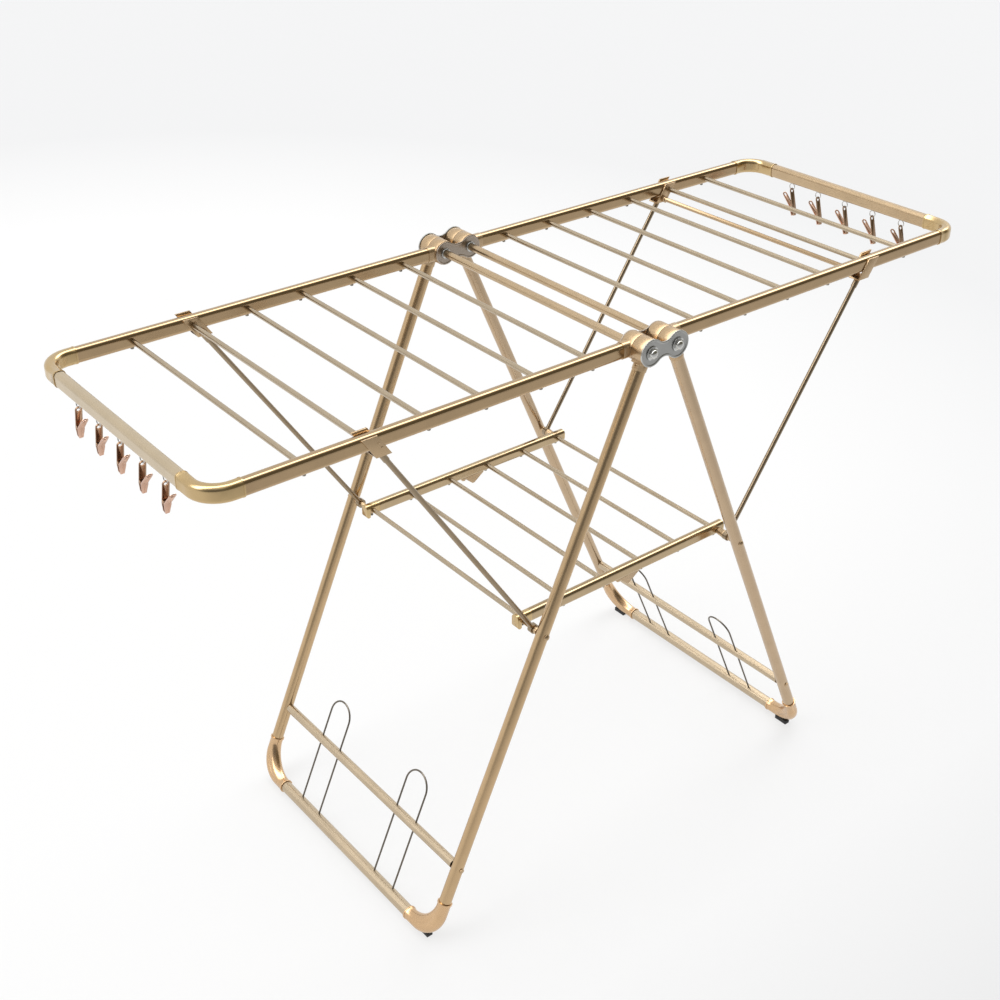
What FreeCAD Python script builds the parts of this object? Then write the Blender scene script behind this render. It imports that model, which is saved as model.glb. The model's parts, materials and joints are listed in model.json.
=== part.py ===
"""Folding clothes drying rack with two wings, a middle shelf, shoe hooks and pegs.

Millimetres. +Z is up and z = 0 is the floor. +X points along the right wing and +Y to the rear.
The origin is on the floor, below the middle of the hinge block.

Most pieces are drawn once, for the right side and the rear, and copied to the other sides.
Leg pieces are drawn on an upright leg that hangs below its pivot, then leaned outwards.
Wing pieces are drawn with u along the wing from its pivot and w above its centre line.
"""

import FreeCAD
import Part

import math
import os

from FreeCAD import Vector

# ---- overall -------------------------------------------------------------------------------
FOOT_BAR_HEIGHT = 13.0  # foot bar centre above the floor
PIVOT_HEIGHT = FOOT_BAR_HEIGHT + 937.0  # pivots of the legs and wings
PIVOT_X = 26.0  # half the distance between the left and right pivots
LEG_ANGLE = 23.9  # lean of each leg from upright, degrees
LEG_LENGTH = 1023.0  # pivot to foot bar centre, along the leg
LEG_Y = 263.0  # leg tube centre line
WING_Y = 241.0  # wing side rail centre line
WING_LENGTH = 709.4  # pivot to end bar centre line

# ---- tubes and wires -----------------------------------------------------------------------
LEG_RADIUS = 10.5
WALL = 1.0
RAIL_HEIGHT = 24.0  # wing side rail and end bar, flat-sided oval
RAIL_WIDTH = 17.0
RAIL_CORNER = 6.5
SHELF_RAIL_HEIGHT = 20.5
SHELF_RAIL_WIDTH = 16.0
SHELF_RAIL_CORNER = 6.0
ROD_RADIUS = 4.1
ROD_WALL = 0.8
FIT = 0.05  # radial clearance of a piece pushed into another
RUNNING_FIT = 0.06  # radial clearance of a turning fit

# ---- hinge block ---------------------------------------------------------------------------
SHAFT_RADIUS = 6.5
KNUCKLE_RADIUS = 20.5
LEG_KNUCKLE_Y = (252.3, 273.5)
WING_KNUCKLE_Y = (229.8, 251.6)
OUTER_PLATE_Y = (274.2, 277.2)
INNER_PLATE_Y = (226.3, 229.1)
OUTER_LOBE_RADIUS = 21.7
INNER_LOBE_RADIUS = 19.8
PLATE_WAIST = 12.0  # half height of the plate's neck
CAP_NUT_RADIUS = 8.0
WASHER_RADIUS = 11.0

# ---- leg frame -----------------------------------------------------------------------------
SOCKET_RADIUS = 11.3
SOCKET_START = 22.0  # below the pivot
SOCKET_END = 31.0
FOOT_BEND_RADIUS = 42.0
FOOT_GUSSET_BEND = 65.0  # a second, wider bend fills the inside of the corner
FOOT_GUSSET_RADIUS = 10.9
FOOT_ELBOW_RADIUS = 11.5
FOOT_ELBOW_ARM = 25.0
ELBOW_BEAD_RADIUS = 12.6
ELBOW_BEAD_WIDTH = 2.5
SHOE_RAIL_DISTANCE = 890.0  # pivot to shoe rail, along the leg
SHOE_RAIL_RADIUS = 8.0
SHOE_HOOK_WIRE = 1.6
SHOE_HOOK_Y = 116.0
SHOE_HOOK_HALF_WIDTH = 27.5
SHOE_HOOK_TOP = 221.0  # above the foot bar centre, along the leg

# ---- middle pivots, struts and shelf -------------------------------------------------------
MID_PIVOT_DISTANCE = 467.0  # wing pivot to strut pivot, along the leg
BOLT_RADIUS = 4.0
BOLT_INNER_Y = 203.2
BOLT_HEAD_RADIUS = 5.5
BOLT_HEAD_HEIGHT = 3.4
STRUT_Y = 240.5
STRUT_WIRE = 4.0
STRUT_SLEEVE_RADIUS = 4.9
STRUT_SLEEVE_LENGTH = 17.0
STRUT_EYE_RADIUS = 8.0
STRUT_EYE_HALF_WIDTH = 4.2
SHELF_Y = 210.5
SHELF_LEFT = -227.0
SHELF_RIGHT = 230.0
SHELF_TUBE_LEFT = -199.0  # the hook piece fills the rest
SHELF_RAISE = 1.7  # rail centre above the middle pivots
SHELF_ROD_PITCH = 85.0
SHELF_ROD_COUNT = 6

# ---- wing ----------------------------------------------------------------------------------
RAIL_START = 24.0
FIRST_ROD = 84.0
ROD_PITCH = 97.5
ROD_COUNT = 6
ROD_W = -1.0
CROSSBAR_U = 460.0
CROSSBAR_W = -16.0
CROSSBAR_RADIUS = 4.0
SADDLE_BOTTOM_W = -22.5
SADDLE_REAR_TOP_W = 15.0  # the cheek on the rack's rear side stands above the rail
SADDLE_FRONT_TOP_W = 10.5
SADDLE_SHEET = 2.0
SADDLE_HALF_LENGTH = 12.5
SADDLE_Y = (229.9, 251.6)
OPEN_PIVOT_GAP = 0.4  # gap between the strut's top and the saddle
WING_BEND_RADIUS = 38.0
WING_ELBOW_ARMS = (12.4, 23.0)  # along the side rail and along the end bar
ELBOW_GROWTH = 0.6  # the elbow stands this much proud of the tube

# ---- pegs ----------------------------------------------------------------------------------
PEG_PITCH = 65.0
PEG_COUNT = 5
PEG_SHIFT = 1.5  # the row sits this much to the rear on the right wing
RING_RADIUS = 6.0
RING_WIRE = 0.8
RING_W = -19.2
PEG_WIDTH = 10.5
PEG_TIP_WIDTH = 6.0
PEG_THICKNESS = 1.6
PEG_EYE_RADIUS = 3.0
PEG_EYE_TO_PIN = 29.5
PEG_JAW_LENGTH = 18.5
PEG_PIN_RADIUS = 1.0
PEG_PIN_X = -3.2  # pin, from the middle of the hanging plate
PEG_SPREAD = 28.0  # angle between the two handles, degrees
PEG_MOVING_SHORTER = 3.5  # the moving handle is this much shorter
PEG_TILT = 16.0  # the open handle's weight tilts the hanging half by this much, degrees

X_AXIS, Y_AXIS, Z_AXIS = Vector(1, 0, 0), Vector(0, 1, 0), Vector(0, 0, 1)
MIRROR_X = Vector(1, 0, 0)
MIRROR_Y = Vector(0, 1, 0)
LEAN = math.radians(LEG_ANGLE)
PIVOT = Vector(PIVOT_X, 0, PIVOT_HEIGHT)
MID_PIVOT = PIVOT + Vector(math.sin(LEAN), 0, -math.cos(LEAN)) * MID_PIVOT_DISTANCE


# ---- shapes --------------------------------------------------------------------------------
def rod(start, end, radius):
    """A solid round bar between two points."""
    return Part.makeCylinder(radius, (end - start).Length, start, end - start)


def tube(start, end, radius, wall=WALL):
    """A hollow round tube between two points."""
    return rod(start, end, radius).cut(rod(start, end, radius - wall))


def bar_y(x, z, y_range, radius):
    """A solid round bar along Y."""
    return rod(Vector(x, y_range[0], z), Vector(x, y_range[1], z), radius)


def drying_rod(x, z, reach):
    """A thin hollow rod along Y, as long on the front side as on the rear."""
    return tube(Vector(x, -reach, z), Vector(x, reach, z), ROD_RADIUS, ROD_WALL)


def box(low, high):
    size = high - low
    return Part.makeBox(size.x, size.y, size.z, low)


def plate_y(points, y_range):
    """A plate whose outline is given as (x, z) points and whose thickness is along Y."""
    corners = [Vector(x, y_range[0], z) for x, z in points]
    outline = Part.makePolygon(corners + corners[:1])
    return Part.Face(outline).extrude(Y_AXIS * (y_range[1] - y_range[0]))


def oval_face(height, width, corner, growth=0.0):
    """A flat-sided oval in the YZ plane, centred at the origin."""
    half_z = height / 2 + growth
    half_y = width / 2 + growth
    radius = corner + growth
    edges = []
    signs = [(1, 1), (-1, 1), (-1, -1), (1, -1)]
    starts, ends = [], []
    for index, (sy, sz) in enumerate(signs):
        centre = Vector(0, sy * (half_y - radius), sz * (half_z - radius))
        start_angle = math.radians(90 * index)
        points = []
        for step in range(3):
            angle = start_angle + math.radians(45 * step)
            points.append(centre + Vector(0, math.cos(angle), math.sin(angle)) * radius)
        edges.append(Part.Arc(*points).toShape())
        starts.append(points[0])
        ends.append(points[2])
    for index in range(4):
        edges.append(Part.LineSegment(ends[index], starts[(index + 1) % 4]).toShape())
    return Part.Face(Part.Wire(Part.__sortEdges__(edges)))


def rail_face(growth=0.0):
    return oval_face(RAIL_HEIGHT, RAIL_WIDTH, RAIL_CORNER, growth)


def along_x(face, start, end):
    """Extrudes a YZ face along X between two points."""
    placed = face.copy()
    placed.translate(start)
    return placed.extrude(end - start)


def along_y(face, start, end):
    """Turns a YZ face to face along Y, then extrudes it between two points."""
    placed = face.copy()
    placed.rotate(Vector(0, 0, 0), Z_AXIS, 90)
    placed.translate(start)
    return placed.extrude(end - start)


def group(shapes):
    """Several separate solids as one shape."""
    solids = [solid for shape in shapes for solid in shape.Solids]
    return Part.makeCompound(solids)


def with_front(shape):
    """The rear piece and its mirror image at the front."""
    return group([shape, shape.mirror(Vector(0, 0, 0), MIRROR_Y)])


def left_of(shape):
    return group([shape.mirror(Vector(0, 0, 0), MIRROR_X)])


def turned_round(shape):
    """The same piece on the other wing, turned half round instead of mirrored."""
    turned = shape.copy()
    turned.rotate(Vector(0, 0, 0), Z_AXIS, 180)
    return group([turned])


def on_leg(shape):
    """Moves a piece drawn on an upright leg, pivot at the origin, to the right leg's place."""
    placed = shape.copy()
    placed.rotate(Vector(0, 0, 0), Y_AXIS, -LEG_ANGLE)
    placed.translate(PIVOT)
    return placed


def on_wing(shape):
    """Moves a piece drawn in (u, y, w) to the right wing's place."""
    placed = shape.copy()
    placed.translate(PIVOT)
    return placed


# ---- hinge block ---------------------------------------------------------------------------
def figure_eight(lobe_radius, y_range, hole_radius):
    """A hinge plate: two round lobes and a neck that curves smoothly into both."""
    neck_radius = (PIVOT_X**2 + PLATE_WAIST**2 - lobe_radius**2) / (2 * (lobe_radius - PLATE_WAIST))
    share = neck_radius / (lobe_radius + neck_radius)
    touch_x = PIVOT_X * share
    touch_z = (PLATE_WAIST + neck_radius) * (1 - share)
    stops = [(touch_x, touch_z), (PIVOT_X + lobe_radius, 0), (touch_x, -touch_z), (0, -PLATE_WAIST)]
    stops += [(-x, -z) for x, z in stops]
    points = [Vector(x, y_range[0], z) for x, z in stops]
    arcs = [Part.Arc(*points[i : i + 2], points[(i + 2) % 8]).toShape() for i in range(0, 8, 2)]
    plate = Part.Face(Part.Wire(arcs)).extrude(Y_AXIS * (y_range[1] - y_range[0]))
    for x in (-PIVOT_X, PIVOT_X):
        plate = plate.cut(bar_y(x, 0, (y_range[0] - 1, y_range[1] + 1), hole_radius))
    plate.translate(Vector(0, 0, PIVOT_HEIGHT))
    return plate


def cross_rods():
    """The two pivot shafts, which are also the two middle drying rods."""
    reach = OUTER_PLATE_Y[1]
    return group([bar_y(x, PIVOT_HEIGHT, (-reach, reach), SHAFT_RADIUS) for x in (-PIVOT_X, PIVOT_X)])


def cap_nut(x):
    """A domed nut on a washer, on the outer face of the rear plate."""
    face = OUTER_PLATE_Y[1]
    washer = bar_y(x, PIVOT_HEIGHT, (face, face + 1.2), WASHER_RADIUS)
    body = bar_y(x, PIVOT_HEIGHT, (face + 1.2, face + 3.2), CAP_NUT_RADIUS)
    dome = Part.makeSphere(CAP_NUT_RADIUS + 1.0, Vector(x, face - 2.6, PIVOT_HEIGHT))
    keep = bar_y(x, PIVOT_HEIGHT, (face + 3.2, face + 10), CAP_NUT_RADIUS)
    return washer.fuse(body).fuse(dome.common(keep)).removeSplitter()


# ---- leg frame, drawn on an upright leg with the pivot at the origin --------------------------
def leg_tube():
    bottom = LEG_LENGTH - FOOT_BEND_RADIUS - FOOT_ELBOW_ARM + 22
    leg = tube(Vector(0, LEG_Y, -SOCKET_START - 1.5), Vector(0, LEG_Y, -bottom), LEG_RADIUS)
    return leg.cut(bar_y(0, -MID_PIVOT_DISTANCE, (LEG_Y - 15, LEG_Y + 15), BOLT_RADIUS + FIT))


def leg_knuckle():
    """A barrel that turns on the shaft, with a socket for the leg tube."""
    barrel = bar_y(0, 0, LEG_KNUCKLE_Y, KNUCKLE_RADIUS)
    socket = rod(Vector(0, LEG_Y, -SOCKET_START), Vector(0, LEG_Y, -SOCKET_END), SOCKET_RADIUS)
    slab = (Vector(-11, LEG_KNUCKLE_Y[0], -SOCKET_START), Vector(11, LEG_KNUCKLE_Y[1], 0))
    knuckle = barrel.fuse(box(*slab)).fuse(socket).removeSplitter()
    top = Vector(0, LEG_Y, -SOCKET_START - 1.5)
    seat = rod(top, Vector(0, LEG_Y, -SOCKET_END - 1), LEG_RADIUS + FIT)
    bore = bar_y(0, 0, (LEG_KNUCKLE_Y[0] - 1, LEG_KNUCKLE_Y[1] + 1), SHAFT_RADIUS + RUNNING_FIT)
    return knuckle.cut(seat).cut(bore)


def foot_bend(bend_radius, tube_radius):
    """A quarter turn between the leg's line and the foot bar's line."""
    centre = Vector(0, LEG_Y - bend_radius, -LEG_LENGTH + bend_radius)
    circle = Part.Circle(centre - Z_AXIS * bend_radius, Y_AXIS, tube_radius).toShape()
    return Part.Face(Part.Wire(circle)).revolve(centre, X_AXIS, 90)


def foot_elbow(growth=0.0, sockets=True):
    """The thick corner between a leg tube and the foot bar, with a bead at each end."""
    radius = FOOT_ELBOW_RADIUS + growth
    bend_y = LEG_Y - FOOT_BEND_RADIUS
    bend_z = -LEG_LENGTH + FOOT_BEND_RADIUS
    bar_end = Vector(0, bend_y - FOOT_ELBOW_ARM, -LEG_LENGTH)
    leg_end = Vector(0, LEG_Y, bend_z + FOOT_ELBOW_ARM)
    elbow = foot_bend(FOOT_BEND_RADIUS, radius)
    elbow = elbow.fuse(rod(Vector(0, bend_y, -LEG_LENGTH), bar_end, radius))
    elbow = elbow.fuse(rod(Vector(0, LEG_Y, bend_z), leg_end, radius))
    elbow = elbow.fuse(foot_bend(FOOT_GUSSET_BEND, FOOT_GUSSET_RADIUS + growth))
    if not sockets:
        return elbow
    bead = Vector(0, ELBOW_BEAD_WIDTH, 0)
    elbow = elbow.fuse(rod(bar_end, bar_end + bead, ELBOW_BEAD_RADIUS))
    bead = Vector(0, 0, ELBOW_BEAD_WIDTH)
    elbow = elbow.fuse(rod(leg_end - bead, leg_end, ELBOW_BEAD_RADIUS))
    depth = 22.2
    elbow = elbow.cut(rod(bar_end - Y_AXIS, bar_end + Y_AXIS * depth, LEG_RADIUS + FIT))
    return elbow.cut(rod(leg_end + Z_AXIS, leg_end - Z_AXIS * depth, LEG_RADIUS + FIT))


def foot_bar():
    reach = LEG_Y - FOOT_BEND_RADIUS - FOOT_ELBOW_ARM + 22
    return tube(Vector(0, -reach, -LEG_LENGTH), Vector(0, reach, -LEG_LENGTH), LEG_RADIUS)


def foot_pad():
    """A rubber pad under the elbow, mostly on the side towards the middle of the rack."""
    foot_x = PIVOT_X + LEG_LENGTH * math.sin(LEAN)
    block = box(Vector(foot_x - 10, 222, 0), Vector(foot_x + 1, 249, 8))
    return block.cut(on_leg(foot_elbow(growth=FIT, sockets=False)))


def shoe_rail():
    """A thin rail between the legs; the hook wires pass through it."""
    reach = LEG_Y - LEG_RADIUS - 0.1
    centre = -SHOE_RAIL_DISTANCE
    rail = tube(Vector(0, -reach, centre), Vector(0, reach, centre), SHOE_RAIL_RADIUS)
    for y in hook_wire_places():
        through = (Vector(0, y, centre - 12), Vector(0, y, centre + 12))
        rail = rail.cut(rod(*through, SHOE_HOOK_WIRE + FIT))
    return rail


def hook_wire_places():
    sides = [(s * SHOE_HOOK_Y, h * SHOE_HOOK_HALF_WIDTH) for s in (-1, 1) for h in (-1, 1)]
    return [centre + half for centre, half in sides]


def shoe_hook(centre_y):
    """A hairpin of wire that stands on the foot bar."""
    top = -LEG_LENGTH + SHOE_HOOK_TOP - SHOE_HOOK_HALF_WIDTH
    bottom = -LEG_LENGTH + LEG_RADIUS
    half = SHOE_HOOK_HALF_WIDTH
    circle = Part.Circle(Vector(0, centre_y + half, top), Z_AXIS, SHOE_HOOK_WIRE).toShape()
    bow = Part.Face(Part.Wire(circle)).revolve(Vector(0, centre_y, top), X_AXIS, 180)
    for side in (-half, half):
        leg = rod(Vector(0, centre_y + side, bottom), Vector(0, centre_y + side, top), SHOE_HOOK_WIRE)
        bow = bow.fuse(leg)
    return bow.removeSplitter()


def pivot_bolt():
    """The bolt half way up the leg, with its round head and collar, and the shoe rail's screw."""
    z = -MID_PIVOT_DISTANCE
    outer = LEG_Y + LEG_RADIUS
    bolt = bar_y(0, z, (BOLT_INNER_Y, outer + 1), BOLT_RADIUS)
    sphere = (BOLT_HEAD_RADIUS**2 + BOLT_HEAD_HEIGHT**2) / (2 * BOLT_HEAD_HEIGHT)
    dome = Part.makeSphere(sphere, Vector(0, outer + 0.1 + BOLT_HEAD_HEIGHT - sphere, z))
    head = dome.common(bar_y(0, z, (outer + 0.1, outer + 10), BOLT_HEAD_RADIUS + 1))
    collar_y = (STRUT_Y + STRUT_EYE_HALF_WIDTH + 0.3, LEG_Y - LEG_RADIUS - 0.1)
    collar = bar_y(0, z, collar_y, BOLT_RADIUS + 2)
    screw = bar_y(0, -SHOE_RAIL_DISTANCE, (outer + 0.05, outer + 1.6), 4.0)
    return group([bolt.fuse(head).fuse(collar).removeSplitter(), screw])


def shelf_spacer():
    """The tapered bush that keeps the shelf rail away from the strut, on the right legs."""
    inner = SHELF_Y + SHELF_RAIL_WIDTH / 2 + 0.5
    outer = STRUT_Y - STRUT_EYE_HALF_WIDTH - 0.3
    cone = Part.makeCone(5.5, 7.5, outer - inner, Vector(0, inner, -MID_PIVOT_DISTANCE), Y_AXIS)
    return cone.cut(bar_y(0, -MID_PIVOT_DISTANCE, (inner - 1, outer + 1), BOLT_RADIUS + FIT))


# ---- strut, drawn at its place on the right -----------------------------------------------------
def strut():
    """A wire from the bolt half way up the leg to the saddle under the wing rail."""
    foot = Vector(MID_PIVOT.x, STRUT_Y, MID_PIVOT.z)
    crossbar = PIVOT + Vector(CROSSBAR_U, STRUT_Y, CROSSBAR_W)
    direction = (crossbar - foot).normalize()
    top_z = PIVOT_HEIGHT + SADDLE_BOTTOM_W - OPEN_PIVOT_GAP
    length = (top_z - foot.z) / direction.z
    top = foot + direction * length
    wire = rod(foot + direction * (STRUT_EYE_RADIUS - 1.5), top - direction * 8, STRUT_WIRE)
    sleeve = rod(top - direction * STRUT_SLEEVE_LENGTH, top + direction * 6, STRUT_SLEEVE_RADIUS)
    above = box(top + Vector(-20, -20, 0), top + Vector(20, 20, 20))
    width = (STRUT_Y - STRUT_EYE_HALF_WIDTH, STRUT_Y + STRUT_EYE_HALF_WIDTH)
    eye = bar_y(foot.x, foot.z, width, STRUT_EYE_RADIUS)
    bore = bar_y(foot.x, foot.z, (STRUT_Y - 10, STRUT_Y + 10), BOLT_RADIUS + RUNNING_FIT)
    return wire.fuse(sleeve.cut(above)).fuse(eye.cut(bore))


# ---- wing, drawn in (u, y, w) -------------------------------------------------------------------
def wing_rail():
    end = WING_LENGTH - WING_BEND_RADIUS - 4
    outside = along_x(rail_face(), Vector(RAIL_START, WING_Y, 0), Vector(end, WING_Y, 0))
    inside = along_x(rail_face(-WALL), Vector(RAIL_START, WING_Y, 0), Vector(end, WING_Y, 0))
    return outside.cut(inside)


def end_bar():
    reach = WING_Y - WING_BEND_RADIUS - 4
    ends = (Vector(WING_LENGTH, -reach, 0), Vector(WING_LENGTH, reach, 0))
    return along_y(rail_face(), *ends).cut(along_y(rail_face(-WALL), *ends))


def wing_knuckle():
    """A barrel that turns on the shaft, with a socket for the side rail."""
    barrel = bar_y(0, 0, WING_KNUCKLE_Y, KNUCKLE_RADIUS)
    ends = (Vector(0, WING_Y, 0), Vector(RAIL_START + 7, WING_Y, 0))
    socket = along_x(rail_face(0.9), *ends)
    knuckle = barrel.fuse(socket).removeSplitter()
    seat_end = ends[1] + X_AXIS
    knuckle = knuckle.cut(along_x(rail_face(FIT), Vector(RAIL_START, WING_Y, 0), seat_end))
    bore = (WING_KNUCKLE_Y[0] - 1, WING_KNUCKLE_Y[1] + 1)
    return knuckle.cut(bar_y(0, 0, bore, SHAFT_RADIUS + RUNNING_FIT))


def wing_elbow():
    """The outer corner of a wing: the same flat-sided oval, a little fatter."""
    bend_u = WING_LENGTH - WING_BEND_RADIUS
    bend_y = WING_Y - WING_BEND_RADIUS
    section = rail_face(ELBOW_GROWTH)
    corner = section.copy()
    corner.translate(Vector(bend_u, WING_Y, 0))
    corner = corner.revolve(Vector(bend_u, bend_y, 0), Z_AXIS, -90)
    rail_end = Vector(bend_u - WING_ELBOW_ARMS[0], WING_Y, 0)
    bar_end = Vector(WING_LENGTH, bend_y - WING_ELBOW_ARMS[1], 0)
    elbow = corner.fuse(along_x(section, rail_end, Vector(bend_u, WING_Y, 0)))
    elbow = elbow.fuse(along_y(section, bar_end, Vector(WING_LENGTH, bend_y, 0)))
    bead = rail_face(ELBOW_GROWTH + 0.5)
    elbow = elbow.fuse(along_x(bead, rail_end, rail_end + X_AXIS * ELBOW_BEAD_WIDTH))
    elbow = elbow.fuse(along_y(bead, bar_end, bar_end + Y_AXIS * ELBOW_BEAD_WIDTH)).removeSplitter()
    seat = rail_face(FIT)
    elbow = elbow.cut(along_x(seat, rail_end - X_AXIS, Vector(bend_u - 3.9, WING_Y, 0)))
    return elbow.cut(along_y(seat, bar_end - Y_AXIS, Vector(WING_LENGTH, bend_y - 3.9, 0)))


def rod_places():
    return [FIRST_ROD + ROD_PITCH * index for index in range(ROD_COUNT)]


def wing_rods():
    reach = WING_Y - RAIL_WIDTH / 2
    return group([drying_rod(u, ROD_W, reach) for u in rod_places()])


def saddle(tops):
    """The folded bracket under the rear side rail that the strut pushes up against.

    tops are the heights of its inner and outer cheeks. Its two rivets are part of it.
    """
    slope = (CROSSBAR_U - (MID_PIVOT.x - PIVOT_X)) / (CROSSBAR_W + PIVOT_HEIGHT - MID_PIVOT.z)

    def middle(w):
        return CROSSBAR_U + (w - CROSSBAR_W) * slope

    def slice_between(low, high, y_range):
        half = SADDLE_HALF_LENGTH
        ends = [(low, -half), (high, -half), (high, half), (low, half)]
        return plate_y([(middle(w) + offset, w) for w, offset in ends], y_range)

    rail_side = RAIL_WIDTH / 2 + FIT
    inner = (SADDLE_Y[0], WING_Y - rail_side)
    outer = (WING_Y + rail_side, SADDLE_Y[1])
    floor = slice_between(SADDLE_BOTTOM_W, SADDLE_BOTTOM_W + SADDLE_SHEET, SADDLE_Y)
    bracket = floor.fuse(slice_between(SADDLE_BOTTOM_W, tops[0], inner))
    bracket = bracket.fuse(slice_between(SADDLE_BOTTOM_W, tops[1], outer)).removeSplitter()
    rod_u = rod_places()[4]
    bracket = bracket.cut(bar_y(rod_u, ROD_W, (220, 235), ROD_RADIUS + FIT))
    rivets = []
    for w in (-1.0, -9.0):
        rivets.append(bar_y(middle(w) - 6.5, w, (SADDLE_Y[1], SADDLE_Y[1] + 0.5), 1.7))
    return group([bracket] + rivets)


def saddles():
    """On every side rail, the cheek on the rack's rear side is the taller one."""
    rear = saddle((SADDLE_FRONT_TOP_W, SADDLE_REAR_TOP_W))
    front = saddle((SADDLE_REAR_TOP_W, SADDLE_FRONT_TOP_W)).mirror(Vector(0, 0, 0), MIRROR_Y)
    return group([rear, front])


def crossbar():
    """The bar that joins the two saddles, with a ferrule at each end."""
    reach = SADDLE_Y[0]
    bar = bar_y(CROSSBAR_U, CROSSBAR_W, (-reach, reach), CROSSBAR_RADIUS)
    for ends in ((-reach, -reach + 7), (reach - 7, reach)):
        bar = bar.fuse(bar_y(CROSSBAR_U, CROSSBAR_W, ends, CROSSBAR_RADIUS + 2))
    return bar.removeSplitter()


# ---- pegs: x across the plates, y along their width, origin at the hanging eyelet's middle ----
HANGING_W = RING_W - RING_RADIUS  # middle of the ring's lowest wire
PEG_EYE_W = HANGING_W - (PEG_EYE_RADIUS - RING_WIRE) + 0.45  # it hangs on that wire
PEG_PIN = Vector(PEG_PIN_X, 0, -PEG_EYE_TO_PIN)


def peg_places():
    middle = (PEG_COUNT - 1) / 2
    return [(middle - index) * PEG_PITCH + PEG_SHIFT for index in range(PEG_COUNT)]


def peg_ring(y):
    """A wire eye under the end bar, in line with the bar."""
    ring = Part.makeTorus(RING_RADIUS, RING_WIRE, Vector(WING_LENGTH, y, RING_W), X_AXIS)
    top = Vector(WING_LENGTH, y, RING_W + RING_RADIUS)
    stem = rod(top, Vector(WING_LENGTH, y, -RAIL_HEIGHT / 2), RING_WIRE)
    return ring.fuse(stem)


def peg_jaw(x):
    """The tapered leaf below the pin, its inner or outer face at x."""
    half, tip = PEG_WIDTH / 2, PEG_TIP_WIDTH / 2
    left_edge = [(-half, 0), (-half, -4), (-tip, -PEG_JAW_LENGTH)]
    outline = left_edge + [(-y, z) for y, z in reversed(left_edge)]
    corners = [Vector(x, y, PEG_PIN.z + z) for y, z in outline]
    return Part.Face(Part.makePolygon(corners + corners[:1])).extrude(X_AXIS * PEG_THICKNESS)


def peg_handle(x, top):
    """The leaf above the pin, with a round end and an eyelet whose middle is at top."""
    half = PEG_WIDTH / 2
    leaf = box(Vector(x, -half, PEG_PIN.z), Vector(x + PEG_THICKNESS, half, top))
    leaf = leaf.fuse(Part.makeCylinder(half, PEG_THICKNESS, Vector(x, 0, top), X_AXIS))
    return leaf.cut(Part.makeCylinder(PEG_EYE_RADIUS, 20, Vector(x - 10, 0, top), X_AXIS))


def peg_hanging_half():
    """The half that hangs on the ring: a flat leaf, two ears and the pin."""
    face = -PEG_THICKNESS / 2
    half = PEG_WIDTH / 2
    body = peg_handle(face, 0).fuse(peg_jaw(face))
    for side in (-1, 1):
        inner, outer = sorted((side * 3.1, side * half))
        body = body.fuse(box(PEG_PIN + Vector(-1.3, inner, -2.2), Vector(face, outer, PEG_PIN.z + 2.2)))
    pin = Vector(0, half - 0.6, 0)
    return body.fuse(rod(PEG_PIN - pin, PEG_PIN + pin, PEG_PIN_RADIUS)).removeSplitter()


def peg_moving_half():
    """The half that turns on the pin: a handle that leans away and a jaw with a lip."""
    near = PEG_PIN_X - 2.0
    far = near - PEG_THICKNESS
    tip = PEG_TIP_WIDTH / 2
    bottom = -PEG_EYE_TO_PIN - PEG_JAW_LENGTH
    lip = box(Vector(near, -tip, bottom), Vector(-PEG_THICKNESS / 2 - 0.4, tip, bottom + 1.6))
    handle = peg_handle(far, -PEG_MOVING_SHORTER)
    handle.rotate(Vector(near, 0, PEG_PIN.z), Y_AXIS, -PEG_SPREAD)
    across = Vector(0, 2.7, 0)
    barrel = rod(PEG_PIN - across, PEG_PIN + across, 2.2)
    web = box(PEG_PIN + Vector(-2.5, -2.7, -1.6), PEG_PIN + Vector(0, 2.7, 1.6))
    body = peg_jaw(far).fuse(lip).fuse(handle).fuse(barrel).fuse(web)
    reach = Vector(0, PEG_WIDTH, 0)
    return body.cut(rod(PEG_PIN - reach, PEG_PIN + reach, PEG_PIN_RADIUS + RUNNING_FIT)).removeSplitter()


def on_ring(shape, y):
    """Turns a peg so that its handles open along the end bar, and hangs it on its ring."""
    placed = shape.copy()
    placed.rotate(Vector(0, 0, 0), Z_AXIS, -90)
    placed.translate(Vector(0, 0, PEG_EYE_W - HANGING_W))
    placed.rotate(Vector(0, 0, 0), X_AXIS, -PEG_TILT)
    placed.translate(PIVOT + Vector(WING_LENGTH, y, HANGING_W))
    return placed


# ---- shelf, drawn at its place ------------------------------------------------------------------
SHELF_Z = MID_PIVOT.z + SHELF_RAISE


def shelf_section(growth=0.0):
    return oval_face(SHELF_RAIL_HEIGHT, SHELF_RAIL_WIDTH, SHELF_RAIL_CORNER, growth)


def shelf_rod_places():
    first = -SHELF_ROD_PITCH * (SHELF_ROD_COUNT - 1) / 2
    return [first + SHELF_ROD_PITCH * index for index in range(SHELF_ROD_COUNT)]


def shelf_bolt_room(x, radius):
    return bar_y(x, MID_PIVOT.z, (SHELF_Y - 15, SHELF_Y + 15), radius)


def shelf_rail():
    """A hollow rail that turns on the right bolt."""
    ends = (Vector(SHELF_TUBE_LEFT, SHELF_Y, SHELF_Z), Vector(SHELF_RIGHT - 3, SHELF_Y, SHELF_Z))
    rail = along_x(shelf_section(), *ends).cut(along_x(shelf_section(-WALL), *ends))
    return rail.cut(shelf_bolt_room(MID_PIVOT.x, BOLT_RADIUS + RUNNING_FIT))


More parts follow.
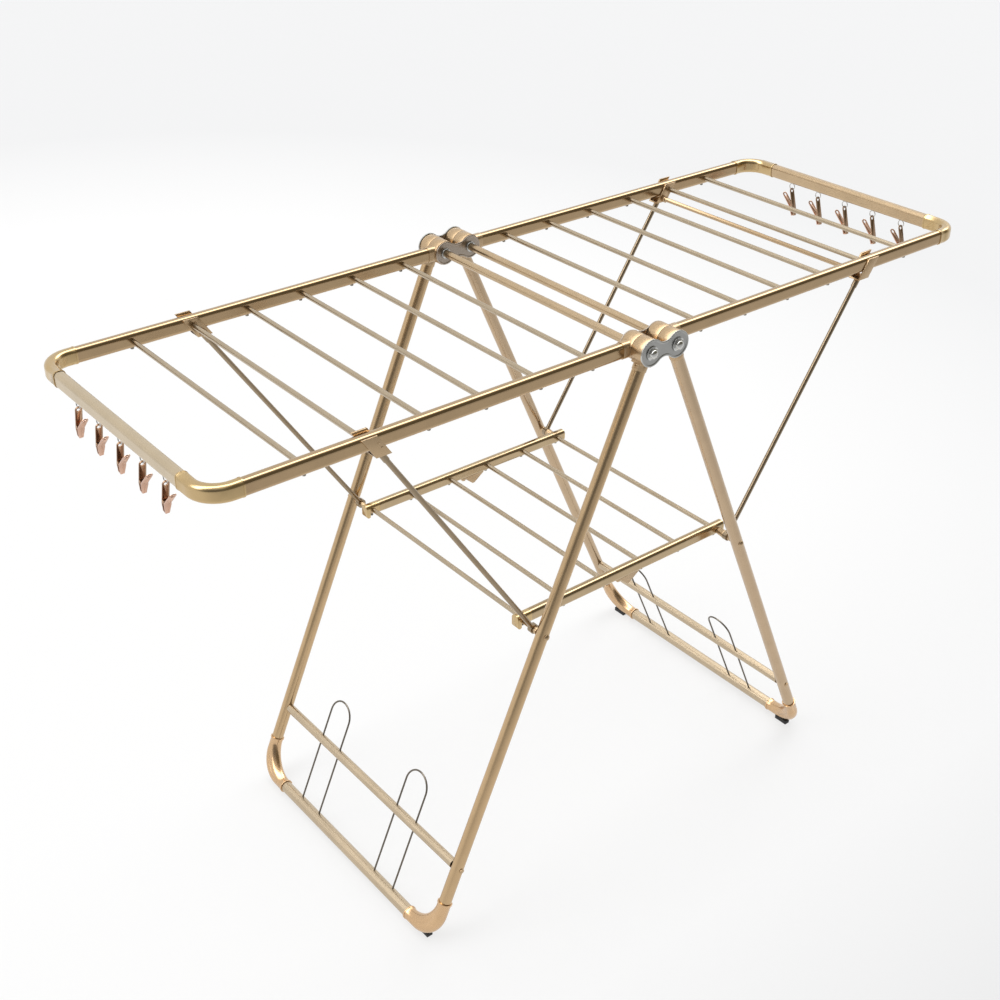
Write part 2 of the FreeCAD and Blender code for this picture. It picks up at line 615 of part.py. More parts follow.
def shelf_hook():
    """The end piece that drops over the left bolt: a seat open below, with a lip outside it."""
    low, high = SHELF_Z - SHELF_RAIL_HEIGHT / 2, SHELF_Z + SHELF_RAIL_HEIGHT / 2
    ends = (Vector(SHELF_LEFT, SHELF_Y, SHELF_Z), Vector(SHELF_TUBE_LEFT, SHELF_Y, SHELF_Z))
    body = along_x(shelf_section(), *ends)
    plug_end = ends[1] + X_AXIS * 12
    body = body.fuse(along_x(shelf_section(-WALL - FIT), ends[1], plug_end))
    bolt_x = -MID_PIVOT.x
    y_range = (SHELF_Y - SHELF_RAIL_WIDTH / 2, SHELF_Y + SHELF_RAIL_WIDTH / 2)
    lip = bar_y(SHELF_LEFT + 4.2, low + 1.2, y_range, 4.2)
    corner = Vector(SHELF_LEFT + 9, y_range[1], high - 6)
    lip = lip.fuse(box(Vector(SHELF_LEFT, y_range[0], low + 1), corner))
    body = body.fuse(lip)
    room = BOLT_RADIUS + 0.3
    seat = bar_y(bolt_x, MID_PIVOT.z, (y_range[0] - 1, y_range[1] + 1), room)
    drop = MID_PIVOT.z - low + 6
    mouth = [
        (bolt_x - room, MID_PIVOT.z),
        (bolt_x - room, MID_PIVOT.z - drop),
        (bolt_x + room + drop, MID_PIVOT.z - drop),
        (bolt_x + room * 0.72, MID_PIVOT.z + room * 0.7),
    ]
    return body.cut(seat).cut(plate_y(mouth, (y_range[0] - 1, y_range[1] + 1))).removeSplitter()


def shelf_cap():
    """The plug in the rail's right end."""
    start = Vector(SHELF_RIGHT - 3, SHELF_Y, SHELF_Z)
    cap = along_x(shelf_section(), start, start + X_AXIS * 3)
    return cap.fuse(along_x(shelf_section(-WALL - FIT), start - X_AXIS * 5, start))


def shelf_rods():
    reach = SHELF_Y - SHELF_RAIL_WIDTH / 2
    return group([drying_rod(x, SHELF_Z, reach) for x in shelf_rod_places()])


def shelf_bracket():
    """The foot under the middle of each rail, with its notch."""
    top = -SHELF_RAIL_HEIGHT / 2
    drops = [(-14, 0), (-14, -5), (-9, -6.5), (-6, -4), (9, -17), (13, -17.5), (17, -15), (35, -2), (35, 0)]
    outline = [(x, SHELF_Z + top + drop) for x, drop in drops]
    return plate_y(outline, (SHELF_Y - 4, SHELF_Y + 4))


# ---- all nodes ---------------------------------------------------------------------------------
def build():
    nodes = {}
    for name, lobe, y_range in (
        ("hinge_plates_outer", OUTER_LOBE_RADIUS, OUTER_PLATE_Y),
        ("hinge_plates_inner", INNER_LOBE_RADIUS, INNER_PLATE_Y),
    ):
        nodes[name] = with_front(figure_eight(lobe, y_range, SHAFT_RADIUS + FIT))
    nodes["cross_rods"] = cross_rods()
    nodes["cap_nuts"] = with_front(group([cap_nut(-PIVOT_X), cap_nut(PIVOT_X)]))

    right = {
        "leg_tubes": with_front(on_leg(leg_tube())),
        "leg_knuckles": with_front(on_leg(leg_knuckle())),
        "foot_bar": on_leg(foot_bar()),
        "foot_elbows": with_front(on_leg(foot_elbow())),
        "foot_pads": with_front(foot_pad()),
        "shoe_rail": on_leg(shoe_rail()),
        "shoe_hooks": with_front(on_leg(shoe_hook(SHOE_HOOK_Y))),
        "leg_bolts": with_front(on_leg(pivot_bolt())),
        "struts": with_front(strut()),
        "wing_rails": with_front(on_wing(wing_rail())),
        "wing_knuckles": with_front(on_wing(wing_knuckle())),
        "wing_elbows": with_front(on_wing(wing_elbow())),
        "end_bar": on_wing(end_bar()),
        "wing_rods": on_wing(wing_rods()),
        "strut_brackets": on_wing(group([crossbar(), saddles()])),
    }
    for name, shape in right.items():
        nodes[f"right_{name}"] = group([shape])
        nodes[f"left_{name}"] = left_of(shape)
    spacers = with_front(on_leg(shelf_spacer()))
    nodes["right_leg_bolts"] = group([nodes["right_leg_bolts"], spacers])

    rings = on_wing(group([peg_ring(y) for y in peg_places()]))
    nodes["right_peg_rings"] = rings
    nodes["left_peg_rings"] = turned_round(rings)
    for number, y in enumerate(peg_places(), start=1):
        left_number = PEG_COUNT + 1 - number
        for part_name, half in (("hanging_half", peg_hanging_half()), ("moving_half", peg_moving_half())):
            placed = on_ring(half, y)
            nodes[f"right_peg_{number}_{part_name}"] = group([placed])
            nodes[f"left_peg_{left_number}_{part_name}"] = turned_round(placed)

    nodes["shelf_rails"] = with_front(shelf_rail())
    nodes["shelf_rods"] = shelf_rods()
    nodes["shelf_brackets"] = with_front(shelf_bracket())
    nodes["shelf_ends"] = with_front(group([shelf_hook(), shelf_cap()]))
    return nodes


os.makedirs("parts", exist_ok=True)
for node_name, node_shape in build().items():
    node_shape.exportStep(f"parts/{node_name}.step")
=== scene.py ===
"""Looks for the folding clothes drying rack: materials, finer metal pieces, floor, lights and camera.

Metres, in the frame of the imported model. Finer pieces take their places from the CAD nodes' boxes
and from the joints, and each one moves with the CAD body it belongs to.
"""

import json
import math

import bmesh
import bpy
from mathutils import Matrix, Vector

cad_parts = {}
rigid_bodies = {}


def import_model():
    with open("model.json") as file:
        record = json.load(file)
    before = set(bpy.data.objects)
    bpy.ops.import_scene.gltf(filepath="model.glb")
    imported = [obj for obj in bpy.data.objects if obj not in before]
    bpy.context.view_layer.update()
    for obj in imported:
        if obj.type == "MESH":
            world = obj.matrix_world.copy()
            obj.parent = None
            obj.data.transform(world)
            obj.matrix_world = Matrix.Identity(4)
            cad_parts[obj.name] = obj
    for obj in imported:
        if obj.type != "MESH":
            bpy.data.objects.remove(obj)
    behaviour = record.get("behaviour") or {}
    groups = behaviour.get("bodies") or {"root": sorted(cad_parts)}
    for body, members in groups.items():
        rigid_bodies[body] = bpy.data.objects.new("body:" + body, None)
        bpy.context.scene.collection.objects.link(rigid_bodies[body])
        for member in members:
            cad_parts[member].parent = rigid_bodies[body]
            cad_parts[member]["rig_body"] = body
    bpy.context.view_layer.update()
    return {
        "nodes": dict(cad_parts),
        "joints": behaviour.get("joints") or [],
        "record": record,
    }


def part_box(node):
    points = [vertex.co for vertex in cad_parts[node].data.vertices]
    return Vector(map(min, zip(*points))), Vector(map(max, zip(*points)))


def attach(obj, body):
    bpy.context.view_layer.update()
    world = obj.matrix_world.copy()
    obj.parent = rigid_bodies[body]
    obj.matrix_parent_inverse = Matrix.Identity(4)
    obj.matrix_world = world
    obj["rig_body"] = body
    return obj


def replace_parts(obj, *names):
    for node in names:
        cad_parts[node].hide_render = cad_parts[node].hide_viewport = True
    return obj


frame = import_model()
PIVOTS = {joint["name"]: Vector(joint["pos_m"]) for joint in frame["joints"]}
NODE_BODY = {name: node["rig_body"] for name, node in frame["nodes"].items()}
NODE_SLOT = {entry["node"]: entry["material_slot"] for entry in frame["record"]["subparts"]}
SIDES = ("right", "left")
ENDS = (-1, 1)  # front and rear
MM = 0.001
X_AXIS, Y_AXIS, Z_AXIS = Vector((1, 0, 0)), Vector((0, 1, 0)), Vector((0, 0, 1))

# sizes that the finer pieces share with the CAD nodes they stand for
RAIL_WIDTH = 17 * MM
SHELF_RAIL_WIDTH = 16 * MM
ROD_RADIUS = 4.1 * MM
RODS = 6  # in each wing and in the shelf
PLATE_WAIST = 12 * MM


# ---- materials ---------------------------------------------------------------------------------
def new_material(name):
    """A node material; returns it with its node tree and its Principled shader."""
    material = bpy.data.materials.new(name)
    material.use_nodes = True
    return material, material.node_tree, material.node_tree.nodes["Principled BSDF"]


def add(tree, kind, inputs=(), **settings):
    """A shader node with its settings and its unlinked input values."""
    node = tree.nodes.new(kind)
    for key, value in settings.items():
        setattr(node, key, value)
    for key, value in dict(inputs).items():
        node.inputs[key].default_value = value
    return node


def noise(tree, coordinates, size=(1, 1, 1), lean=0.0, scale=1.0, detail=3.0):
    """Noise in the object's own metres: size is how long its marks are, lean turns them about Y."""
    place = add(tree, "ShaderNodeMapping", {"Scale": size, "Rotation": (0, lean, 0)},
                vector_type="TEXTURE")
    pattern = add(tree, "ShaderNodeTexNoise", {"Scale": scale, "Detail": detail, "Roughness": 0.6})
    tree.links.new(coordinates, place.inputs["Vector"])
    tree.links.new(place.outputs["Vector"], pattern.inputs["Vector"])
    return pattern.outputs["Fac"]


def remap(tree, value, low, high, from_low=0.25, from_high=0.75):
    """Stretches a value from one range to another; noise seldom leaves 0.25 to 0.75."""
    node = add(tree, "ShaderNodeMapRange",
               {"From Min": from_low, "From Max": from_high, "To Min": low, "To Max": high})
    tree.links.new(value, node.inputs["Value"])
    return node.outputs["Result"]


def mixed_colour(tree, factor, low, high):
    """The colour low where factor is 0 and high where it is 1."""
    node = add(tree, "ShaderNodeMix", {"A": (*low, 1), "B": (*high, 1)}, data_type="RGBA")
    tree.links.new(factor, node.inputs["Factor"])
    return node.outputs["Result"]


def times(colour, factor):
    """A colour made lighter or darker."""
    return tuple(min(1.0, channel * factor) for channel in colour)


FINE, LONG = 1.2 * MM, 90 * MM  # width and length of a drawing line
PEEL = 3 * MM  # size of the orange peel on castings
CLOUDS = 26.0  # tint clouds per metre
TINT = (0.93, 1.05)  # darkest and lightest cloud
GLOSS = (0.82, 1.2)  # smoothest and roughest line
METAL_RELIEF, RUBBER_RELIEF = 0.00004, 0.0001
GRAIN = {"x": (LONG, FINE, FINE), "y": (FINE, LONG, FINE), "z": (FINE, FINE, LONG), "none": (PEEL,) * 3}


def metal(name, colour, roughness, grain="none", metallic=1.0, coat=0.0, depth=0.3, wear_and_highlight=0.0, lean=0.0):
    """Satin metal: faint clouds of tint, fine drawing lines or orange peel, and edges lightened as rubbed wear
    and painted highlight.
    """
    material, tree, shader = new_material(name)
    shader.inputs["Metallic"].default_value = metallic
    shader.inputs["Coat Weight"].default_value = coat
    shader.inputs["Coat Roughness"].default_value = 0.12
    where = add(tree, "ShaderNodeTexCoord").outputs["Object"]
    clouds = noise(tree, where, scale=CLOUDS, detail=4.0)
    lines = noise(tree, where, GRAIN[grain], lean, detail=2.0)
    tints = [times(colour, factor) for factor in TINT]
    tinted = mixed_colour(tree, remap(tree, clouds, 0, 1), *tints)
    # edges lightened by pointiness: partly rubbed wear, partly a painted highlight where bevelled rims would
    # catch light
    if wear_and_highlight:
        edges = add(tree, "ShaderNodeNewGeometry").outputs["Pointiness"]
        rubbed_and_lit = add(tree, "ShaderNodeMix", {"B": (*times(colour, 1.0 + wear_and_highlight), 1)}, data_type="RGBA")
        tree.links.new(remap(tree, edges, 0, 1, 0.52, 0.6), rubbed_and_lit.inputs["Factor"])
        tree.links.new(tinted, rubbed_and_lit.inputs["A"])
        tinted = rubbed_and_lit.outputs["Result"]
    tree.links.new(tinted, shader.inputs["Base Color"])
    gloss = remap(tree, lines, roughness * GLOSS[0], roughness * GLOSS[1])
    tree.links.new(gloss, shader.inputs["Roughness"])
    bump = add(tree, "ShaderNodeBump", {"Strength": depth, "Distance": METAL_RELIEF})
    tree.links.new(lines, bump.inputs["Height"])
    tree.links.new(bump.outputs["Normal"], shader.inputs["Normal"])
    return material


def rubber(name):
    """Moulded rubber: matt, with a fine grain and paler scuffs."""
    material, tree, shader = new_material(name)
    where = add(tree, "ShaderNodeTexCoord").outputs["Object"]
    grain = noise(tree, where, scale=900.0)
    scuffs = noise(tree, where, scale=120.0)
    black, scuffed = (0.012, 0.011, 0.011), (0.05, 0.048, 0.045)
    tint = mixed_colour(tree, remap(tree, scuffs, 0, 1, 0.5, 0.8), black, scuffed)
    tree.links.new(tint, shader.inputs["Base Color"])
    tree.links.new(remap(tree, scuffs, 0.55, 0.8), shader.inputs["Roughness"])
    bump = add(tree, "ShaderNodeBump", {"Strength": 0.4, "Distance": RUBBER_RELIEF})
    tree.links.new(grain, bump.inputs["Height"])
    tree.links.new(bump.outputs["Normal"], shader.inputs["Normal"])
    return material


CHAMPAGNE = (0.48, 0.338, 0.192)
LEG_LEAN = math.radians(23.9)
LOOKS = {
    "rail_x": metal("champagne_rail", CHAMPAGNE, 0.17, "x", coat=0.15),
    "shelf_rail": metal("champagne_shelf_rail", (0.50, 0.375, 0.225), 0.17, "x", coat=0.15),
    # painted light: both end bars are one material; the paler left copy is painted light and the darker, warmer
    # right copy is painted shade, for how light falls on each
    "left_end_bar": metal("champagne_bar_left_painted_light", (0.58, 0.475, 0.33), 0.24, "y", coat=0.1),
    "right_end_bar": metal("champagne_bar_right_painted_shade", (0.55, 0.405, 0.25), 0.24, "y", coat=0.1),
    "bar_y": metal("champagne_bar", (0.53, 0.425, 0.295), 0.27, "y", coat=0.1),
    "right_leg_tubes": metal("champagne_leg_right", (0.52, 0.385, 0.25), 0.24, "z", coat=0.1, lean=-LEG_LEAN),
    "left_leg_tubes": metal("champagne_leg_left", (0.555, 0.39, 0.22), 0.22, "z", coat=0.1, lean=LEG_LEAN),
    "rod": metal("drying_rod", (0.47, 0.385, 0.275), 0.25, "y"),
    "cross_rod": metal("cross_rod", (0.54, 0.405, 0.255), 0.25, "y"),
    "casting": metal("champagne_casting", (0.50, 0.36, 0.215), 0.3, metallic=0.95, wear_and_highlight=0.15),
    "elbow": metal("champagne_elbow", (0.56, 0.405, 0.205), 0.2, coat=0.2, wear_and_highlight=0.15),
    "foot_elbow": metal("champagne_foot_elbow", (0.64, 0.43, 0.245), 0.26, coat=0.15, wear_and_highlight=0.1),
    "screw": metal("screw_steel", (0.30, 0.27, 0.22), 0.25, depth=0.4),
    "washer": metal("washer_steel", (0.40, 0.40, 0.39), 0.28, depth=0.4, wear_and_highlight=0.8),
    "plate": metal("hinge_plate_grey", (0.41, 0.41, 0.395), 0.32, "x", depth=0.5, wear_and_highlight=0.9),
    "inner_plate": metal("hinge_plate_bronze", (0.42, 0.36, 0.30), 0.3, depth=0.4, wear_and_highlight=0.5),
    "nut": metal("bright_nut", (0.60, 0.595, 0.57), 0.12, wear_and_highlight=0.3),
    "strut": metal("strut_wire", (0.33, 0.255, 0.17), 0.26, "z"),
    "wire": metal("dark_wire", (0.16, 0.14, 0.115), 0.32, "z"),
    # painted shade: the hanging half is the same rose gold as the moving half, painted darker brown in place of
    # the darker reflection its upward-tilted handle catches
    "peg_hanging": metal("peg_rose_gold_painted_shade", (0.36, 0.235, 0.15), 0.2, coat=0.1, wear_and_highlight=0.6),
    "peg_moving": metal("peg_rose_gold", (0.56, 0.355, 0.26), 0.22, coat=0.1, wear_and_highlight=0.4),
    "rubber": rubber("black_rubber"),
}

# the look of every node whose name ends like this
LOOK_OF_NODE = {
    "right_leg_tubes": "right_leg_tubes", "left_leg_tubes": "left_leg_tubes",
    "leg_knuckles": "casting", "foot_bar": "bar_y", "foot_elbows": "foot_elbow",
    "foot_pads": "rubber", "shoe_rail": "bar_y", "shoe_hooks": "wire", "leg_bolts": "casting",
    "struts": "strut", "wing_rails": "rail_x", "wing_knuckles": "casting", "wing_elbows": "elbow",
    "left_end_bar": "left_end_bar", "right_end_bar": "right_end_bar", "wing_rods": "rod",
    "strut_brackets": "casting", "peg_rings": "nut",
    "hinge_plates_outer": "plate", "hinge_plates_inner": "inner_plate",
    "cross_rods": "cross_rod", "cap_nuts": "nut",
    "shelf_rails": "shelf_rail", "shelf_rods": "rod", "shelf_brackets": "casting",
    "shelf_ends": "elbow", "moving_half": "peg_moving", "hanging_half": "peg_hanging",
}


def look_of(node_name):
    for ending, look in LOOK_OF_NODE.items():
        if node_name.endswith(ending):
            return LOOKS[look]
    raise KeyError(node_name)


for node_name, node in frame["nodes"].items():
    node.data.materials.clear()
    node.data.materials.append(look_of(node_name))


# ---- finer copies of CAD nodes: real edges are rounded -------------------------------------------
BEVEL_SEGMENTS = 2
BEVEL_ANGLE = math.radians(32)  # edges sharper than this are rounded
SHARP_ANGLE = math.radians(35)  # edges sharper than this stay sharp in the shading


def refined(node_name, edge):
    """A copy of a CAD node with its sharp edges rounded, in place of the node."""
    source = frame["nodes"][node_name]
    mesh = bpy.data.meshes.new(node_name + "_fine")
    work = bmesh.new()
    for vertex in source.data.vertices:
        work.verts.new(vertex.co)
    work.verts.ensure_lookup_table()
    for polygon in source.data.polygons:
        try:
            work.faces.new([work.verts[index] for index in polygon.vertices])
        except ValueError:
            pass  # a repeated face
    bmesh.ops.remove_doubles(work, verts=work.verts, dist=0.00001)
    bmesh.ops.dissolve_limit(work, angle_limit=math.radians(1), verts=work.verts, edges=work.edges)
    bmesh.ops.recalc_face_normals(work, faces=work.faces)
    work.to_mesh(mesh)
    work.free()
    piece = bpy.data.objects.new(node_name + "_fine", mesh)
    bpy.context.scene.collection.objects.link(piece)
    bevel = piece.modifiers.new("edges", "BEVEL")
    bevel.width = edge
    bevel.segments = BEVEL_SEGMENTS
    bevel.limit_method = "ANGLE"
    bevel.angle_limit = BEVEL_ANGLE
    bevel.use_clamp_overlap = True
    finish_piece(piece, NODE_BODY[node_name], look_of(node_name))
    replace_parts(piece, node_name)


def finish_piece(piece, body, material):
    """Applies modifiers, smooths faces except at sharp edges, and sets material and body."""
    if piece.modifiers:
        graph = bpy.context.evaluated_depsgraph_get()
        applied = bpy.data.meshes.new_from_object(piece.evaluated_get(graph))
        piece.modifiers.clear()
        piece.data = applied
    piece.data.shade_smooth()
    piece.data.set_sharp_from_angle(angle=SHARP_ANGLE)
    piece.data.materials.clear()
    piece.data.materials.append(material)
    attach(piece, body)
    return piece


# ---- new pieces from rings of points ----------------------------------------------------------------
class Shape:
    """Vertices and faces of one piece, made from several closed surfaces."""

    def __init__(self):
        self.verts, self.faces = [], []

    def rings(self, rings):
        """Skins a row of rings with the same number of points, with a cap at each end."""
        start, count = len(self.verts), len(rings[0])
        for ring in rings:
            self.verts += ring
        for row in range(len(rings) - 1):
            here, there = start + row * count, start + (row + 1) * count
            for index in range(count):
                after = (index + 1) % count
                self.faces.append((here + index, here + after, there + after, there + index))
        last = start + (len(rings) - 1) * count
        self.faces.append(tuple(start + index for index in reversed(range(count))))
        self.faces.append(tuple(last + index for index in range(count)))

    def turned(self, base, axis, profile, segments=32, sides=0):
        """A turned body: profile gives (distance along the axis, radius); sides makes a prism."""
        axis = axis.normalized()
        across = axis.orthogonal().normalized()
        other = axis.cross(across)
        rings = []
        for distance, radius in profile:
            ring = []
            for index in range(segments):
                angle = 2 * math.pi * index / segments
                reach = radius
                if sides:
                    step = math.pi / sides
                    reach *= math.cos(step) / math.cos(angle % (2 * step) - step)
                offset = across * math.cos(angle) + other * math.sin(angle)
                ring.append(base + axis * distance + offset * max(reach, 0.00001))
            rings.append(ring)
        self.rings(rings)

    def piece(self, name, body, slot, look):
        mesh = bpy.data.meshes.new(name)
        mesh.from_pydata(self.verts, [], self.faces)
        mesh.validate()
        work = bmesh.new()
        work.from_mesh(mesh)
        bmesh.ops.recalc_face_normals(work, faces=work.faces)
        work.to_mesh(mesh)
        work.free()
        item = bpy.data.objects.new(name, mesh)
        bpy.context.scene.collection.objects.link(item)
        return finish_piece(item, body, LOOKS[look])


def quarter_turn(steps):
    return [math.pi / 2 * step / steps for step in range(steps + 1)]


def drum(length, radius, edge):
    """The profile of a cylinder with rounded edges."""
    profile = [(0, 0)]
    quarter = quarter_turn(4)
    profile += [(edge - edge * math.cos(a), radius - edge + edge * math.sin(a)) for a in quarter]
    profile += [(length - edge + edge * math.sin(a), radius - edge + edge * math.cos(a)) for a in quarter]
    return profile + [(length, 0)]


# ---- stage ---------------------------------------------------------------------------------------
FLOOR_HALF = 30.0
POOL_CENTRE = (-0.2, 1.6, 0.0)  # the brightest place on the floor, behind the rack
POOL_NEAR, POOL_FAR = 1.8, 2.9  # where its brightness starts and stops falling
POOL_GLOW, OUTER_GLOW = (0.72, 0.72, 0.72), (0.62, 0.623, 0.63)
FRONT_FADE = (-2.4, -0.5)  # in front of the rack the floor's glow falls from full to half


def floor():
    """A wide pale floor with a soft pool of light."""
    mesh = bpy.data.meshes.new("floor")
    corners = [(x * FLOOR_HALF, y * FLOOR_HALF, 0) for x, y in ((-1, -1), (1, -1), (1, 1), (-1, 1))]
    mesh.from_pydata(corners, [], [(0, 1, 2, 3)])
    plane = bpy.data.objects.new("floor", mesh)
    bpy.context.scene.collection.objects.link(plane)
    material, tree, shader = new_material("floor")
    shader.inputs["Base Color"].default_value = (0.16, 0.16, 0.16, 1)
    shader.inputs["Roughness"].default_value = 0.9
    shader.inputs["Specular IOR Level"].default_value = 0.1
    where = add(tree, "ShaderNodeTexCoord").outputs["Object"]
    centre = add(tree, "ShaderNodeVectorMath", operation="DISTANCE")
    tree.links.new(where, centre.inputs[0])
    centre.inputs[1].default_value = POOL_CENTRE
    far = remap(tree, centre.outputs["Value"], 0, 1, POOL_NEAR, POOL_FAR)
    glow = mixed_colour(tree, far, POOL_GLOW, OUTER_GLOW)
    tree.links.new(glow, shader.inputs["Emission Color"])
    apart = add(tree, "ShaderNodeSeparateXYZ")
    tree.links.new(where, apart.inputs["Vector"])
    front = remap(tree, apart.outputs["Y"], 0.5, 1.0, *FRONT_FADE)
    tree.links.new(front, shader.inputs["Emission Strength"])
    mesh.materials.append(material)


def towards(tree, direction, heading, low, high):
    """1 where a direction is close to a heading, 0 where it is far, soft in between."""
    dot = add(tree, "ShaderNodeVectorMath", operation="DOT_PRODUCT")
    tree.links.new(direction, dot.inputs[0])
    dot.inputs[1].default_value = Vector(heading).normalized()
    soft = add(tree, "ShaderNodeMapRange", {"From Min": low, "From Max": high}, interpolation_type="SMOOTHSTEP")
    tree.links.new(dot.outputs["Value"], soft.inputs["Value"])
    return soft.outputs["Result"]


def level(tree, start, factor, value):
    """Goes from one brightness to another where factor is 1."""
    node = add(tree, "ShaderNodeMix", {"B": value}, data_type="FLOAT")
    if isinstance(start, float):
        node.inputs["A"].default_value = start
    else:
        tree.links.new(start, node.inputs["A"])
    tree.links.new(factor, node.inputs["Factor"])
    return node.outputs["Result"]


STUDIO_LEVEL = 0.95
# each patch: the direction of its middle, the cosines where it starts and is full, its brightness
SHADED_WALL = ((-0.6, -0.8, 0.1), 0.4, 0.95, 0.18)
OPENING = ((0.5, -0.76, 0.42), 0.62, 0.92, 0.16)
OPENING_TINT = (1, 0.93, 0.72)
STRIP_EDGES = ((Y_AXIS, -0.12, 0.10), (Y_AXIS, 0.50, 0.36), (Z_AXIS, 0.35, 0.55))
STRIP_LEVEL = 5.0


def world():
    """A studio: pale all round, a dark opening in front on the right, and a long strip light overhead."""
    sky = bpy.data.worlds.new("studio")
    bpy.context.scene.world = sky
    sky.use_nodes = True
    tree = sky.node_tree
    direction = add(tree, "ShaderNodeTexCoord").outputs["Generated"]
    shaded = towards(tree, direction, *SHADED_WALL[:3])
    light = level(tree, STUDIO_LEVEL, shaded, SHADED_WALL[3])
    opening = towards(tree, direction, *OPENING[:3])
    light = level(tree, light, opening, OPENING[3])
    strip = None
    for edge in STRIP_EDGES:
        inside = towards(tree, direction, *edge)
        if strip is None:
            strip = inside
            continue
        both = add(tree, "ShaderNodeMath", operation="MULTIPLY")
        tree.links.new(strip, both.inputs[0])
        tree.links.new(inside, both.inputs[1])
        strip = both.outputs["Value"]
    light = level(tree, light, strip, STRIP_LEVEL)
    background = tree.nodes["Background"]
    tree.links.new(mixed_colour(tree, opening, (1, 1, 1), OPENING_TINT), background.inputs["Color"])
    tree.links.new(light, background.inputs["Strength"])


CAMERA_PLACE = (-1.3874, -1.6368, 1.851)
CAMERA_AIM = (0.5336, 0.6708, -0.5150)
CAMERA_LENS, CAMERA_SENSOR = 52.04, 36  # mm
CAMERA_SHIFT = (-0.0021, -0.0005)


def camera():
    data = bpy.data.cameras.new("camera")
    data.lens = CAMERA_LENS
    data.sensor_width = CAMERA_SENSOR
    data.shift_x, data.shift_y = CAMERA_SHIFT
    eye = bpy.data.objects.new("camera", data)
    eye.location = CAMERA_PLACE
    eye.rotation_euler = Vector(CAMERA_AIM).to_track_quat("-Z", "Y").to_euler()
    bpy.context.scene.collection.objects.link(eye)
    bpy.context.scene.camera = eye


# ---- the finer pieces ----------------------------------------------------------------------------
PLATE_THICKNESS, INNER_PLATE_THICKNESS = 3 * MM, 2.8 * MM
# a plate's rim, in mm: (inset from the outline, distance from the back face)
OUTER_RIM = ((0.6, 0), (0, 0.6), (0, 2.4), (0.5, 2.9), (1.0, 3.0), (2.4, 3.0), (3.1, 2.8), (3.7, 2.1))
INNER_RIM = ((0.5, 0), (0, 0.5), (0, 2.2), (0.5, 2.7), (1.0, 2.8), (2.2, 2.8), (2.9, 2.6), (3.5, 1.9))
LOBE_STEPS, NECK_STEPS = 36, 12
# drums: length, radius, edge
HUB = (3.4 * MM, 9.2 * MM, 1.1 * MM)
WASHER = (2.0 * MM, 11.2 * MM, 0.6 * MM)
HUB_SINK, WASHER_SINK = 1.6 * MM, 0.9 * MM  # how deep they start in their plates
# turned profiles, in mm: (distance, radius)
HEXAGON = ((0.9, 8.2), (1.1, 8.6), (3.2, 8.6), (3.9, 7.6))
SCREW_HEAD = ((-0.6, 1.8), (0.9, 1.8), (1.1, 2.9), (2.5, 3.0), (3.4, 2.4), (4.0, 1.2))
DOME_BASE, DOME_START, DOME_HEIGHT, DOME_RADIUS = 3.0 * MM, 3.4 * MM, 4.2 * MM, 6.9 * MM
SKIP_REACH = 15 * MM  # no screw this close to a saddle


def in_metres(profile):
    return [(distance * MM, radius * MM) for distance, radius in profile]


def plate_ring(lobe, waist, inset, y):
    """The outline of a hinge plate, drawn in by inset: two lobes and the neck between them."""
    pivot = PIVOTS["legs_close"]
    neck = (pivot.x**2 + waist**2 - lobe**2) / (2 * (lobe - waist))
    height = waist + neck
    alpha = math.atan2(height, pivot.x)
    arcs = ((pivot.x, 0, lobe - inset, alpha - math.pi, math.pi - alpha, LOBE_STEPS),
            (0, height, neck + inset, -alpha, alpha - math.pi, NECK_STEPS),
            (-pivot.x, 0, lobe - inset, alpha, 2 * math.pi - alpha, LOBE_STEPS),
            (0, -height, neck + inset, math.pi - alpha, alpha, NECK_STEPS))
    points = []
    for x, z, radius, start, stop, count in arcs:
        for step in range(count):
            angle = start + (stop - start) * step / count
            points.append(Vector((x + radius * math.cos(angle), y, pivot.z + z + radius * math.sin(angle))))
    return points


def hinge_plates(node_name, back, face, profile, look):
    """Pressed plates with a raised rim; profile gives (inset, distance from the back face)."""
    low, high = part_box(node_name)
    lobe = (high[2] - low[2]) / 2
    shape = Shape()
    for end in ENDS:
        along = math.copysign(1, face - back)
        shape.rings([plate_ring(lobe, PLATE_WAIST, inset * MM, end * (back + along * depth * MM))
                     for inset, depth in profile])
    piece = shape.piece(node_name + "_fine", NODE_BODY[node_name], NODE_SLOT[node_name], look)
    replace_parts(piece, node_name)


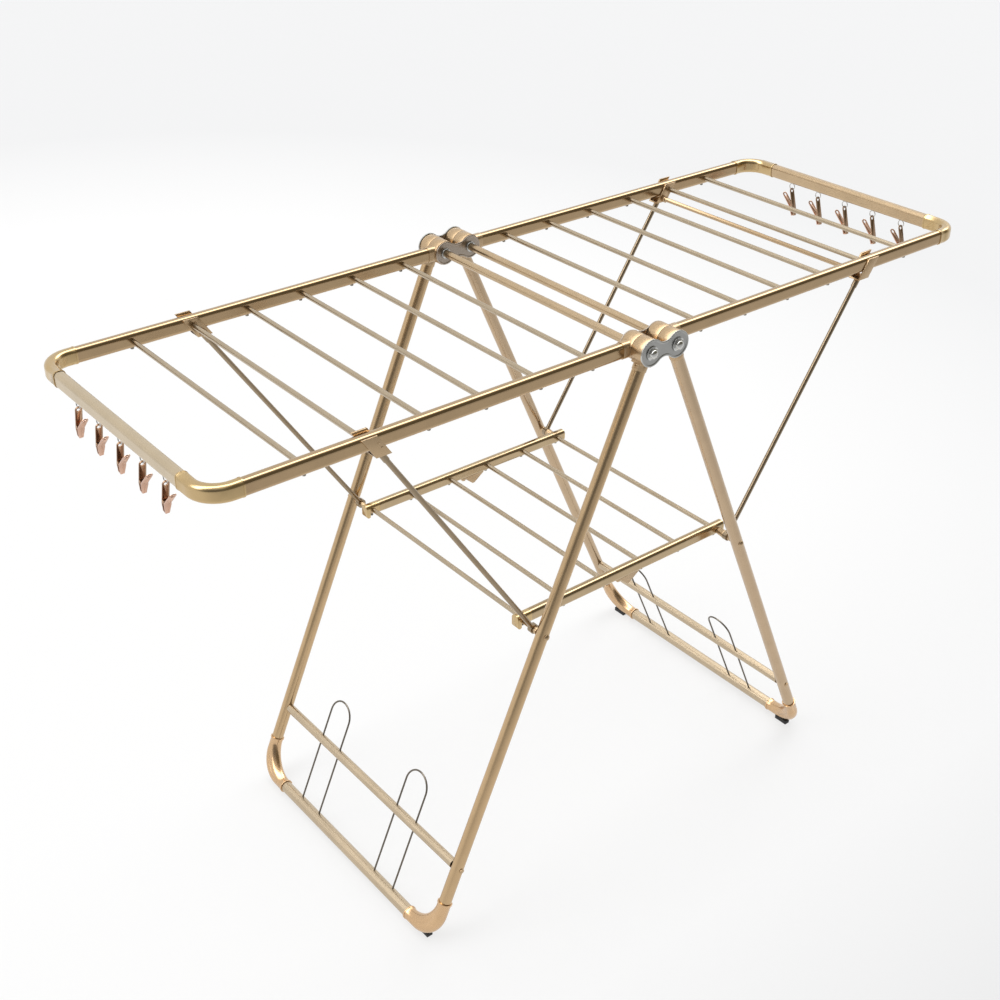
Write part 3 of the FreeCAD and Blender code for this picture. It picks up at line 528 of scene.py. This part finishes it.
def hinge_block():
    """Both pairs of plates, the hubs round the shafts, and the domed nuts on their washers."""
    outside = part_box("hinge_plates_outer")[1][1]
    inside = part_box("hinge_plates_inner")[1][1]
    hinge_plates("hinge_plates_outer", outside - PLATE_THICKNESS, outside, OUTER_RIM, "plate")
    hinge_plates("hinge_plates_inner", inside, inside - INNER_PLATE_THICKNESS, INNER_RIM, "inner_plate")
    hubs, washers, nuts = Shape(), Shape(), Shape()
    pivot = PIVOTS["legs_close"]
    dome = [(DOME_START + DOME_HEIGHT * math.sin(a), DOME_RADIUS * math.cos(a)) for a in quarter_turn(10)]
    for end in ENDS:
        for x in (-pivot.x, pivot.x):
            base = Vector((x, end * (inside - HUB_SINK), pivot.z))
            hubs.turned(base, Y_AXIS * -end, drum(*HUB))
            base = Vector((x, end * (outside - WASHER_SINK), pivot.z))
            washers.turned(base, Y_AXIS * end, drum(*WASHER), 48)
            base = Vector((x, end * outside, pivot.z))
            nuts.turned(base, Y_AXIS * end, in_metres(HEXAGON), 48, sides=6)
            nuts.turned(base, Y_AXIS * end, [(DOME_BASE, DOME_RADIUS)] + dome, 40)
    body = NODE_BODY["cap_nuts"]
    hubs.piece("shaft_hubs", body, NODE_SLOT["hinge_plates_inner"], "washer")
    washers.piece("nut_washers", body, NODE_SLOT["hinge_plates_outer"], "washer")
    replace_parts(nuts.piece("cap_nuts_fine", body, NODE_SLOT["cap_nuts"], "nut"), "cap_nuts")


def side_bolts(rails):
    """The leg-bolt node on the same side as some rails; its slot is looked up for the screws under them."""
    return "left_leg_bolts" if rails.startswith("left") else "right_leg_bolts"


def rail_screws(name, rails, rods, width, skipped=()):
    """The screw under a rail at each rod's end."""
    rail_low, rail_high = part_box(rails)
    rod_low, rod_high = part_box(rods)
    first, last = rod_low[0] + ROD_RADIUS, rod_high[0] - ROD_RADIUS
    shape = Shape()
    for index in range(RODS):
        x = first + (last - first) * index / (RODS - 1)
        if any(abs(x - place) < SKIP_REACH for place in skipped):
            continue
        for end in ENDS:
            base = Vector((x, end * (rail_high[1] - width / 2), rail_low[2]))
            shape.turned(base, -Z_AXIS, in_metres(SCREW_HEAD), 20)
    shape.piece(name, NODE_BODY[rails], NODE_SLOT[side_bolts(rails)], "screw")


hinge_block()
for side in SIDES:
    saddle_low, saddle_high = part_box(f"{side}_strut_brackets")
    rail_screws(f"{side}_rail_screws", f"{side}_wing_rails", f"{side}_wing_rods", RAIL_WIDTH,
                skipped=[(saddle_low[0] + saddle_high[0]) / 2])
rail_screws("shelf_rail_screws", "shelf_rails", "shelf_rods", SHELF_RAIL_WIDTH)
EDGES = {"leg_knuckles": 1.4, "wing_knuckles": 1.4, "strut_brackets": 0.5, "foot_pads": 0.8,
         "wing_elbows": 0.5, "foot_elbows": 0.5, "leg_bolts": 0.3}  # radius in mm
PEG_EDGE, SHELF_EDGE = 0.35 * MM, 0.7 * MM
PEGS = 5  # on each side
for side in SIDES:
    for ending, edge in EDGES.items():
        refined(f"{side}_{ending}", edge * MM)
    for number in range(1, PEGS + 1):
        for half in ("hanging", "moving"):
            refined(f"{side}_peg_{number}_{half}_half", PEG_EDGE)
for node_name in ("shelf_brackets", "shelf_ends"):
    refined(node_name, SHELF_EDGE)

floor()
world()
camera()
bpy.context.scene.view_settings.view_transform = "Standard"
